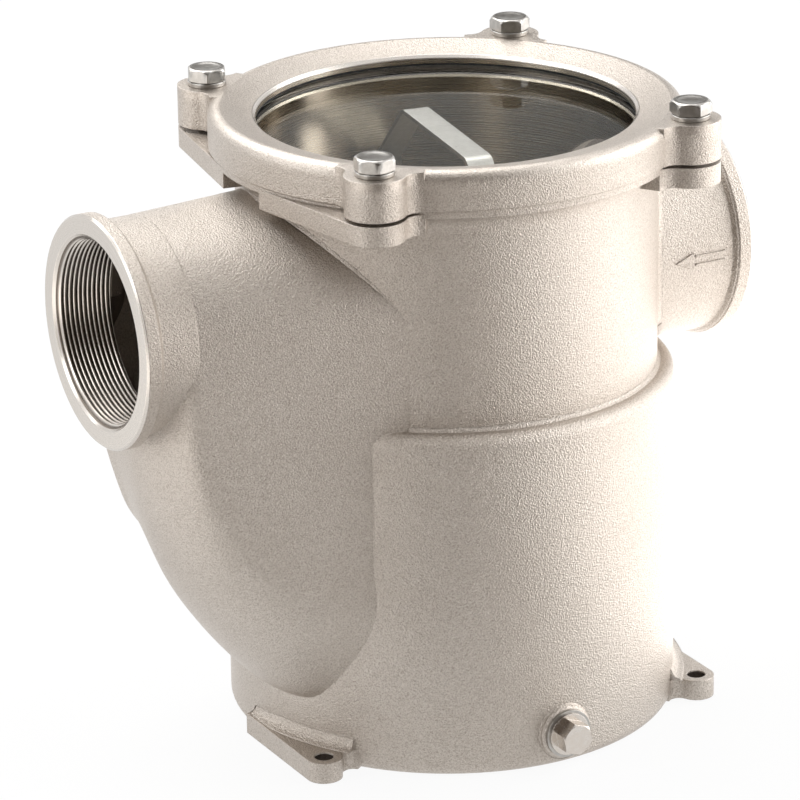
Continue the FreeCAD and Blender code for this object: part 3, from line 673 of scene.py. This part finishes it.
def duct(p):
    """The duct's outside.

    Above the ports' axis it is an upright half ellipse. Below, each level outline has two
    flat flanks and a half elliptical nose whose corners move in towards the keel.
    """
    x, y, z = p[..., 0], np.abs(p[..., 1]), p[..., 2]
    half_here = DUCT_HALF + FLANK_SLOPE * (x - DUCT_END_X)
    crown = (np.hypot(y / half_here, (z - PORT_Z) / DUCT_HALF) - 1) * DUCT_HALF
    low_z = FLANK_Z - FLANK_DROP
    below = np.clip((FLANK_Z - np.maximum(z, low_z)) / FLANK_DROP, 0, 1)
    corner = FLANK_X - FLANK_RUN * np.sqrt(1 - below ** 2)
    keel = np.sqrt(np.clip(1 - (np.maximum(low_z - z, 0) / KEEL_DROP) ** 2, 0.0001, 1))
    half = (DUCT_HALF + FLANK_SLOPE * (corner - DUCT_END_X)) * keel
    belly = np.clip((BELLY_Z - z) / BELLY_DROP, 0, 1)
    nose_x = BELLY_X - BELLY_RUN * np.sqrt(1 - belly ** 2)
    depth = np.maximum(corner - nose_x, 1.0)
    nose = (np.hypot((corner - x) / depth, y / half) - 1) * half
    flank = y - half - FLANK_SLOPE * (x - corner)
    return np.where(z > PORT_Z, crown, np.where(x > corner, flank, nose))


def slope(shape, points):
    """Gradient of a shape's function at many points."""
    parts = []
    for axis in np.eye(3) * SLOPE_STEP:
        parts.append((shape(points + axis) - shape(points - axis)) / (2 * SLOPE_STEP))
    return np.stack(parts, axis=-1)


def unit(vectors):
    """Vectors of length 1."""
    return vectors / np.linalg.norm(vectors, axis=-1, keepdims=True)


def gap(shape, points):
    """Distance of many points from a shape, to the first order."""
    return shape(points) / np.linalg.norm(slope(shape, points), axis=-1)


def fillet(name, seam, radius, first, second, material):
    """Casting fillet along the seam of two shapes, as a ball that rolls on both would leave it.

    The ball's centre is at its radius from each shape, on the plane square to the seam. Across
    the strip the surface is the arc between the ball's two touching points, and a line sunk
    below the seam closes the strip inside the casting.
    """
    radius = np.broadcast_to(np.asarray(radius, dtype=float), seam.shape[:1])
    along = unit(np.gradient(seam, axis=0))
    inward = unit(slope(first, seam)) + unit(slope(second, seam))
    opening = np.maximum((inward ** 2).sum(axis=1) / 2, ROLL_LEAST_OPENING)
    centre = seam + inward * (radius / opening)[:, None]
    for _ in range(ROLL_ROUNDS):
        rows = np.stack([unit(slope(first, centre)), unit(slope(second, centre)), along], axis=1)
        miss = np.stack([gap(first, centre) - radius, gap(second, centre) - radius,
                         ((centre - seam) * along).sum(axis=1)], axis=-1)
        centre = centre - ROLL_EASE * np.linalg.solve(rows, miss[..., None])[..., 0]
    touch = []
    for shape in (first, second):
        point = centre - unit(slope(shape, centre)) * radius[:, None]
        for _ in range(TOUCH_ROUNDS):
            steep = slope(shape, point)
            point = point - steep * (shape(point) / (steep ** 2).sum(axis=1))[:, None]
        touch.append(point - unit(slope(shape, point)) * TOUCH_SINK - centre)
    start, end = (np.linalg.norm(reach, axis=1)[:, None] for reach in touch)
    from_way, to_way = unit(touch[0]), unit(touch[1])
    turn = np.arccos(np.clip((from_way * to_way).sum(axis=1), -1, 1))[:, None]
    lines = []
    for share in np.linspace(0, 1, FILLET_ACROSS):
        way = (np.sin((1 - share) * turn) * from_way + np.sin(share * turn) * to_way) / np.sin(turn)
        lines.append(centre + way * (start * (1 - share) + end * share))
    lines.append(seam - inward * SEAM_SINK)
    piece = finish_piece(name, np.stack(lines, axis=1), material, "strainer",
                         close_ends=True)
    crisp(piece)


def around(radius, angles, z):
    """Points about the vessel's axis at angles in radians."""
    return np.stack([radius * np.cos(angles), radius * np.sin(angles), z + 0 * angles], axis=-1)


def seam_height(shape, radius, angles, low, high):
    """Height at which a shape meets an upright cylinder, found by halving at each angle."""
    low = np.full_like(angles, low)
    high = np.full_like(angles, high)
    for _ in range(HALVINGS):
        middle = (low + high) / 2
        outside = shape(around(radius, angles, middle)) > 0
        low = np.where(outside, middle, low)
        high = np.where(outside, high, middle)
    return (low + high) / 2


def flank_angle(radius):
    """Angle at which the rear flank meets an upright cylinder."""
    x = FLANK_FIRST_GUESS * radius
    for _ in range(FLANK_ROUNDS):
        x = -math.sqrt(radius ** 2 - (DUCT_HALF + FLANK_SLOPE * (x - DUCT_END_X)) ** 2)
    return math.pi - math.acos(-x / radius)


def duct_fillets(material):
    """Fillets round the duct's crown on the barrel and down its two flanks on the drum."""
    side = flank_angle(BARREL_R)
    climb = np.linspace(SHOULDER_Z - CLIMB_LOW, PORT_Z - CLIMB_HIGH, CLIMB_POINTS)
    over = np.linspace(side + CROWN_GAP, 2 * np.pi - side - CROWN_GAP, CROWN_POINTS)
    search_top = PORT_Z + DUCT_HALF + CROWN_SEARCH
    crest = seam_height(lambda p: -duct(p), BARREL_R, over, PORT_Z, search_top)
    seam = np.vstack([around(BARREL_R, np.full(CLIMB_POINTS, side), climb),
                      around(BARREL_R, over, crest),
                      around(BARREL_R, np.full(CLIMB_POINTS, 2 * np.pi - side), climb[::-1])])
    fillet("duct_upper_fillet", smooth_path(seam), UPPER_FILLET_R, vessel(BARREL_R), duct, material)

    side = flank_angle(DRUM_R)
    low_z = FLANK_Z - FLANK_DROP
    drop = np.linspace(SHOULDER_Z - DROP_HIGH, low_z - DROP_LOW, DROP_POINTS)
    radius = LOWER_FILLET_R * np.clip((drop - low_z + DROP_FADE_START) / DROP_FADE, DROP_LEAST, 1)
    for name, turn in (("rear", side), ("front", -side)):
        seam = around(DRUM_R, np.full(DROP_POINTS, turn), drop)
        fillet("duct_lower_fillet_" + name, seam, radius, vessel(DRUM_R), duct, material)


def casting_fillets(material):
    """Fillets where the duct, inlet neck, shoulder, feet and drain boss leave the vessel."""
    duct_fillets(material)

    turn = np.linspace(-INLET_SEAM_TURN, INLET_SEAM_TURN, INLET_POINTS)
    seam = INLET_NECK_R * np.stack([0 * turn, np.sin(turn), np.cos(turn)], axis=-1)
    seam[:, 0] = np.sqrt(BARREL_R ** 2 - seam[:, 1] ** 2)
    seam[:, 2] += PORT_Z
    fillet("inlet_neck_fillet", seam, NECK_FILLET_R, vessel(BARREL_R), neck(INLET_NECK_R), material)

    for name, start, end in SHOULDER_SEAMS:
        seam = around(BARREL_R, np.linspace(start, end, SHOULDER_POINTS), SHOULDER_Z)
        fillet("shoulder_fillet_" + name, seam, SHOULDER_FILLET_R, vessel(BARREL_R), level(SHOULDER_Z),
               material)

    share = np.linspace(0, 1, FOOT_POINTS)
    widths = {"start": share, "end": 1 - share, "none": 1 + 0 * share}
    for name, start, end, thin in FOOT_SEAMS:
        angles = np.radians(np.linspace(start, end, FOOT_POINTS))
        fullness = np.clip(widths[thin] * FOOT_FADE, 0, 1)
        radius = FOOT_FILLET_R * (FOOT_LEAST + (1 - FOOT_LEAST) * fullness)
        fillet("foot_fillet_" + name, around(DRUM_R, angles, FOOT_TOP_Z), radius, vessel(DRUM_R),
               level(FOOT_TOP_Z), material)

    turn = np.linspace(0, 2 * np.pi, DRAIN_POINTS)
    seam = DRAIN_BOSS_R * np.stack([np.sin(turn), 0 * turn, np.cos(turn)], axis=-1)
    seam[:, 1] = -np.sqrt(DRUM_R ** 2 - seam[:, 0] ** 2)
    seam[:, 2] += DRAIN_Z
    fillet("drain_boss_fillet", seam, DRAIN_FILLET_R, vessel(DRUM_R), drain_boss, material)


def smooth_path(points):
    """A path with its bends eased, its ends kept."""
    for _ in range(SMOOTH_ROUNDS):
        eased = (points[:-2] + 2 * points[1:-1] + points[2:]) / 4
        points = np.vstack([points[:1], eased, points[-1:]])
    return points


def thread_wave(turn):
    """Rounded thread over one turn: 0 at the root and 1 at the crest, a softened triangle."""
    ramp = np.clip(np.abs(2 * (turn % 1) - 1) * WAVE_STRETCH - WAVE_SHIFT, 0, 1)
    return ramp * (1 + WAVE_SWELL * (1 - ramp))


def port_thread(name, face_x, way, material):
    """Lining of a port with its thread: radius falls from root to crest as the turn goes round.

    The lead-in cone cuts the first turns, and the back of the lining closes it inside the wall.
    """
    turns = (THREAD_LENGTH - THREAD_CHAMFER) / THREAD_PITCH
    rows = int(turns * THREAD_ROWS_A_TURN)
    depth = np.linspace(THREAD_CHAMFER, THREAD_LENGTH - THREAD_END_GAP, rows)[:, None]
    angle = np.linspace(0, 2 * np.pi, THREAD_COLUMNS, endpoint=False)[None, :]
    wave = thread_wave(depth / THREAD_PITCH + way * angle / (2 * np.pi))
    radius = THREAD_ROOT_R - (THREAD_ROOT_R - THREAD_MINOR_R) * wave
    cone = THREAD_R + THREAD_CHAMFER - depth
    radius = np.minimum(np.maximum(radius, cone), THREAD_ROOT_R)
    back = np.full((2, angle.size), THREAD_R + THREAD_BACK)
    radius = np.vstack([radius, back])
    depth = np.vstack([depth, depth[-1:], depth[:1]]) + np.zeros_like(radius)
    x = face_x - way * depth
    points = np.stack([x, -way * radius * np.sin(angle), PORT_Z + radius * np.cos(angle)], axis=-1)
    finish_piece(name, points, material, "strainer", wrap_rows=True)


def bolt_shape(name, material):
    """Hexagon bolt: threaded shank, washer face, chamfered head with a shallow dished top."""
    low, high = low_mm(name), high_mm(name)
    x, y = (low[:2] + high[:2]) / 2
    seat = high[2] - BOLT_HEAD
    tip = low[2]
    plain = seat - BOLT_PLAIN
    angle = np.linspace(0, 2 * np.pi, BOLT_COLUMNS, endpoint=False)[None, :]
    z = np.linspace(tip, plain, int((plain - tip) / BOLT_PITCH * BOLT_ROWS_A_TURN))[:, None]
    wave = thread_wave(z / BOLT_PITCH - angle / (2 * np.pi))
    start = np.clip((z - tip) / BOLT_POINT, 0, 1)
    end = np.clip((plain - z) / BOLT_PITCH, 0, 1)
    radius = BOLT_ROOT_R + (BOLT_R - BOLT_ROOT_R) * np.maximum(wave, 1 - end)
    radius = radius - (1 - start) * BOLT_POINT_DROP
    shank = np.stack([x + radius * np.cos(angle), y + radius * np.sin(angle), z + 0 * angle], axis=-1)
    across = (angle - math.radians(BOLT_TURNS[name])) % (np.pi / 3) - np.pi / 6
    hexagon = BOLT_FLATS / 2 / np.cos(across)
    profile = [(seat, row) for row in HEAD_FOOT] + [(high[2], row) for row in HEAD_CROWN]
    rings = []
    for base, (flat_r, rise, reach, tilt) in profile:
        ring = np.minimum(hexagon, flat_r + reach)
        height = base + rise + (ring - flat_r) * tilt
        rings.append(np.stack([x + ring * np.cos(angle), y + ring * np.sin(angle), height], axis=-1))
    points = np.concatenate([shank] + rings)
    piece = finish_piece(name + "_threaded", points, material,
                         name.replace("cover_bolt", "bolt"), close_ends=True)
    crisp(piece)
    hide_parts(name)


def washer_shape(name, material):
    """Spring washer pressed almost flat: a square section wound once, with a gap."""
    low, high = low_mm(name), high_mm(name)
    x, y = (low[:2] + high[:2]) / 2
    outer = (high[0] - low[0]) / 2
    gap_half = WASHER_GAP / (outer + WASHER_INNER_R)
    start = math.radians(WASHER_TURN + BOLT_TURNS[name.replace("spring_washer", "cover_bolt")])
    angle = np.linspace(gap_half, 2 * np.pi - gap_half, WASHER_STEPS)[:, None]
    edge = WASHER_EDGE
    inner_edge, outer_edge = WASHER_INNER_R + edge, outer - edge
    radius = np.array([WASHER_INNER_R, inner_edge, outer_edge, outer, outer, outer_edge, inner_edge,
                       WASHER_INNER_R])[None, :]
    bottom, top = low[2] + WASHER_CLEARANCE, high[2] - WASHER_CLEARANCE
    height = np.array([bottom + edge, bottom, bottom, bottom + edge, top - edge, top, top, top - edge])
    points = np.stack([x + radius * np.cos(angle + start), y + radius * np.sin(angle + start),
                       height[None, :] + 0 * angle], axis=-1)
    piece = finish_piece(name + "_wound", points, material,
                         name.replace("spring_washer", "washer"), close_ends=True)
    crisp(piece)
    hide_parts(name)


def crisp(piece):
    """Splits the edges that turn sharply, so that smooth shading stops there."""
    edge = piece.modifiers.new("crisp_edges", "EDGE_SPLIT")
    edge.split_angle = CRISP_ANGLE


def punched_cells(middle_u, middle_v, width, pitch):
    """Cells of a punched sheet laid flat: 12 points round each hexagon and 12 round its hole."""
    turn = np.arange(CELL_POINTS) * 2 * np.pi / CELL_POINTS
    share_u = [0.5, 0.5, 0.25, 0, -0.25, -0.5, -0.5, -0.5, -0.25, 0, 0.25, 0.5]
    share_v = [0, 1 / 3, 0.5, 2 / 3, 0.5, 1 / 3, 0, -1 / 3, -0.5, -2 / 3, -0.5, -1 / 3]
    corner_u, corner_v = np.array(share_u) * width, np.array(share_v) * pitch
    outer = np.stack([middle_u + corner_u, middle_v + corner_v], axis=-1)
    inner = np.stack([middle_u + HOLE_R * np.cos(turn), middle_v + HOLE_R * np.sin(turn)], axis=-1)
    return np.stack([outer, inner], axis=1)


def punched_sheet(name, skins, material, node):
    """Punched sheet from its two skins of cells: both skins and the walls of the holes.

    Cells share their outer corners, which are welded.
    """
    vertices = np.stack(skins, axis=1).reshape(-1, 3)
    ring = CELL_POINTS
    base = (np.arange(len(skins[0])) * 4 * ring)[:, None, None]
    here = np.arange(ring)
    onward = (here + 1) % ring
    outside = np.stack([here, onward, onward + ring, here + ring], axis=-1)
    inside = outside[:, ::-1] + 2 * ring
    wall = np.stack([here + ring, onward + ring, onward + 3 * ring, here + 3 * ring], axis=-1)
    faces = (base + np.concatenate([outside, inside, wall])[None]).reshape(-1, 4).tolist()
    piece = finish_mesh(name, vertices, faces, material, "basket", smooth=False)
    weld = piece.modifiers.new("share_corners", "WELD")
    weld.merge_threshold = WELD_M
    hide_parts(node)


def plain_band(name, inner, outer, low, high, material):
    """Plain ring of the basket's sheet between two radii and two heights."""
    profile = [(inner, low), (outer, low), (outer, high), (inner, high)]
    finish_piece(name, turned(profile), material, "basket", wrap_rows=True,
                 smooth=False)


def perforated_shell(material):
    """Basket's shell: staggered round holes between two plain bands."""
    low, high = low_mm("basket_shell")[2], high_mm("basket_shell")[2]
    bottom = low_mm("basket_hoop")[2] + SHELL_LOW_BAND
    top = high - SHELL_HIGH_BAND
    width = 2 * np.pi / HOLE_COLUMNS * BASKET_R
    pitch = (top - bottom) / HOLE_ROWS
    row, column = np.meshgrid(np.arange(HOLE_ROWS), np.arange(HOLE_COLUMNS), indexing="ij")
    middle_u = ((column + 0.5 * (row % 2)) * width).reshape(-1, 1)
    middle_v = (bottom + (row + 0.5) * pitch).reshape(-1, 1)
    cell = punched_cells(middle_u, middle_v, width, pitch)
    angle = cell[..., 0] / BASKET_R
    skins = [np.stack([r * np.cos(angle), r * np.sin(angle), cell[..., 1]], axis=-1)
             for r in (BASKET_R, BASKET_R - BASKET_SHEET)]
    punched_sheet("basket_sheet", skins, material, "basket_shell")
    inner, outer = BASKET_R - BASKET_SHEET - SHEET_INSET, BASKET_R + BAND_PROUD
    plain_band("basket_upper_band", inner, outer, top - BAND_LAP, high, material)
    plain_band("basket_lower_band", inner, outer, low, bottom + BAND_LAP, material)


def perforated_floor(material):
    """Basket's floor: a disc with staggered round holes inside a plain edge."""
    low, high = low_mm("basket_floor")[2], high_mm("basket_floor")[2]
    edge = high_mm("basket_floor")[0]
    pitch = FLOOR_PITCH * math.sqrt(3) / 2
    reach = int(edge / pitch) + 1
    steps = np.arange(-reach, reach + 1)
    row, column = np.meshgrid(steps, steps, indexing="ij")
    middle_u = ((column + 0.5 * (row % 2)) * FLOOR_PITCH).reshape(-1, 1)
    middle_v = (row * pitch).reshape(-1, 1)
    kept = (np.hypot(middle_u, middle_v) < edge - FLOOR_EDGE / 2)[:, 0]
    cell = punched_cells(middle_u[kept], middle_v[kept], FLOOR_PITCH, pitch)
    skins = [np.concatenate([cell, np.full_like(cell[..., :1], z)], axis=-1)
             for z in (high - SHEET_INSET, low + SHEET_INSET)]
    punched_sheet("basket_floor_sheet", skins, material, "basket_floor")
    plain_band("basket_floor_edge", edge - FLOOR_EDGE, edge, low, high, material)


def turned(profile):
    """Grid of points of a (radius, height) profile turned about the vessel's axis."""
    angle = np.linspace(0, 2 * np.pi, SHEET_COLUMNS, endpoint=False)[None, :]
    radius = np.array([r for r, z in profile])[:, None]
    height = np.array([z for r, z in profile])[:, None] + 0 * angle
    return np.stack([radius * np.cos(angle), radius * np.sin(angle), height], axis=-1)


def flow_arrow(name, material):
    """Raised lines of an arrow wrapped on the inlet neck: an open head and two shaft lines.

    Across each line the height is a half ellipse, and the ends of that profile dip under
    the neck.
    """
    shaft_x = ARROW_NECK_X + ARROW_SHAFT_GAP
    strokes = (
        ((ARROW_NECK_X, ARROW_HALF_HEAD), (ARROW_TIP_X, 0), (ARROW_NECK_X, -ARROW_HALF_HEAD)),
        ((shaft_x, ARROW_HALF_SHAFT), (ARROW_TAIL_X, ARROW_HALF_SHAFT)),
        ((shaft_x, -ARROW_HALF_SHAFT), (ARROW_TAIL_X, -ARROW_HALF_SHAFT)),
    )
    middle = math.asin((ARROW_MIDDLE_Z - PORT_Z) / INLET_NECK_R)
    across = np.linspace(-1, 1, ARROW_ACROSS)
    rise = np.append(ARROW_RISE * np.sqrt(np.clip(1 - across ** 2, 0, 1)) - ARROW_DIP, -ARROW_KEEL)
    offset = np.append(across * ARROW_LINE, 0.0)
    for number, stroke in enumerate(strokes, 1):
        corners = np.array(stroke)
        run = unit(np.diff(corners, axis=0))
        before, after = np.vstack([run[:1], run]), np.vstack([run, run[-1:]])
        normal = np.stack([-(before + after)[:, 1], (before + after)[:, 0]], axis=-1)
        mitre = normal / ((normal ** 2).sum(axis=1)[:, None] / 2)
        flat = corners[:, None, :] + mitre[:, None, :] * offset[None, :, None]
        radius = INLET_NECK_R + rise[None, :]
        angle = middle + flat[..., 1] / INLET_NECK_R
        points = np.stack([flat[..., 0], -radius * np.cos(angle), PORT_Z + radius * np.sin(angle)],
                          axis=-1)
        finish_piece("%s_%d" % (name, number), points, material, "strainer",
                     close_ends=True, smooth=False)


def set_material(names, material):
    """Gives CAD nodes a material."""
    for name in names:
        mesh = NODES[name].data
        mesh.materials.clear()
        mesh.materials.append(material)


def dress():
    """Materials on the CAD nodes, and every new piece."""
    casting = cast_nickel()
    lathe = turned_nickel()
    bright = bright_steel("bright_steel", STEEL, STEEL_WORN, rough=0.24)
    plated = bright_steel("bright_plating", NICKEL_TURNED, NICKEL, rough=0.2)
    sheet = bright_steel("satin_sheet", SHEET, SHEET_WORN, rough=0.24)
    seal = rubber()
    set_material(["strainer_body", "cover_ring"], casting)
    set_material([name for name in NODES if name.startswith("spring_washer")], bright)
    set_material(BOLT_NAMES, bright)
    set_material(["drain_plug"], plated)
    set_material(["drain_washer"], bright)
    set_material(["cover_gasket", "body_o_ring"], seal)
    set_material(["basket_shell", "basket_floor", "basket_rim", "basket_hoop", "basket_handle",
                  "handle_rivets"], sheet)
    set_material(["sight_glass"], sight_glass())
    port_thread("outlet_thread", OUTLET_FACE_X, -1, lathe)
    port_thread("inlet_thread", INLET_FACE_X, 1, lathe)
    for name in BOLT_NAMES:
        bolt_shape(name, bright)
        washer_shape(name.replace("cover_bolt", "spring_washer"), bright)
    perforated_shell(sheet)
    perforated_floor(sheet)
    flow_arrow("flow_arrow", casting)
    casting_fillets(casting)


def camera():
    """Camera at the photograph's viewing angle."""
    right = Vector((math.cos(VIEW_AZIMUTH), math.sin(VIEW_AZIMUTH), 0))
    back = Vector((math.sin(VIEW_AZIMUTH) * math.cos(VIEW_ELEVATION),
                   -math.cos(VIEW_AZIMUTH) * math.cos(VIEW_ELEVATION), math.sin(VIEW_ELEVATION)))
    up = back.cross(right)
    across = right * math.cos(VIEW_ROLL) + up * math.sin(VIEW_ROLL)
    upward = -right * math.sin(VIEW_ROLL) + up * math.cos(VIEW_ROLL)
    data = bpy.data.cameras.new("photo_camera")
    data.lens = LENS
    data.sensor_width = SENSOR
    data.clip_end = VIEW_REACH_M
    eye = bpy.data.objects.new("photo_camera", data)
    bpy.context.scene.collection.objects.link(eye)
    eye.matrix_world = Matrix((across, upward, back)).transposed().to_4x4()
    eye.location = VIEW_AIM_M + across * VIEW_SLIDE_M + back * VIEW_DISTANCE_M
    bpy.context.scene.camera = eye


def lamp(name, place, size, power):
    """Square area lamp pointed at the object; lengths in metres, power in watts."""
    data = bpy.data.lights.new(name, "AREA")
    data.shape = "SQUARE"
    data.size = size
    data.energy = power
    light = bpy.data.objects.new(name, data)
    light.location = place
    light.rotation_mode = "QUATERNION"
    light.rotation_quaternion = (Vector(STUDIO_AIM_M) - Vector(place)).to_track_quat("-Z", "Y")
    bpy.context.scene.collection.objects.link(light)


def stage_square(name, half, turn, place, material, unseen_by=()):
    """Flat square of the studio from half its side, its turn, its place and what can't see it."""
    signs = ((-1, -1), (1, -1), (1, 1), (-1, 1))
    corners = [Vector((x * half, y * half, 0)) for x, y in signs]
    mesh = bpy.data.meshes.new(name)
    mesh.from_pydata([turn @ corner + Vector(place) for corner in corners], [], [(0, 1, 2, 3)])
    mesh.materials.append(material)
    square = bpy.data.objects.new(name, mesh)
    for rays in unseen_by:
        setattr(square, rays, False)
    bpy.context.scene.collection.objects.link(square)


def card(name, place, size, colour, aim):
    """Square studio card of an even tone that only reflections see; lengths in metres."""
    finish = Finish(name)
    glow = finish.node("ShaderNodeEmission", inputs={"Color": colour, "Strength": 1.0})
    turn = (Vector(aim) - Vector(place)).to_track_quat("Z", "Y")
    stage_square(name, size / 2, turn, place, finish.show(glow), CARD_UNSEEN_BY)


def seen_directly(finish):
    """1 on rays from the camera, a reflection or through glass, and 0 on the rest."""
    path = finish.node("ShaderNodeLightPath").source.node
    rays = [Wire(finish, path.outputs[name]) for name in
            ("Is Camera Ray", "Is Glossy Ray", "Is Transmission Ray")]
    return finish.node("ShaderNodeMath", {"operation": "ADD", "use_clamp": True},
                       {0: rays[0] + rays[1], 1: rays[2]})


def studio():
    """Pale floor, white surroundings, soft lamps and the cards that metal mirrors."""
    world = bpy.data.worlds.new("studio")
    bpy.context.scene.world = world
    sky = Finish("studio", world)
    strength = seen_directly(sky).ramp(0.0, 1.0, WORLD_LIGHT, 1.0)
    sky.show(sky.node("ShaderNodeBackground", inputs={"Color": WHITE, "Strength": strength}))

    finish = Finish("pale_floor")
    shown = seen_directly(finish)
    paint = finish.node("ShaderNodeBsdfDiffuse", inputs={"Color": FLOOR_PAINT})
    shine = finish.node("ShaderNodeEmission", inputs={"Color": WHITE, "Strength": 1.0})
    stage_square("floor", FLOOR_HALF_M, Quaternion(), (0, 0, FLOOR_Z_M),
                 finish.show(finish.mixed(shown * FLOOR_GLOW, paint, shine)))

    for values in LAMPS:
        lamp(*values)
    for values in CARDS:
        card(*values)


dress()
camera()
studio()
bpy.context.scene.view_settings.view_transform = "Standard"
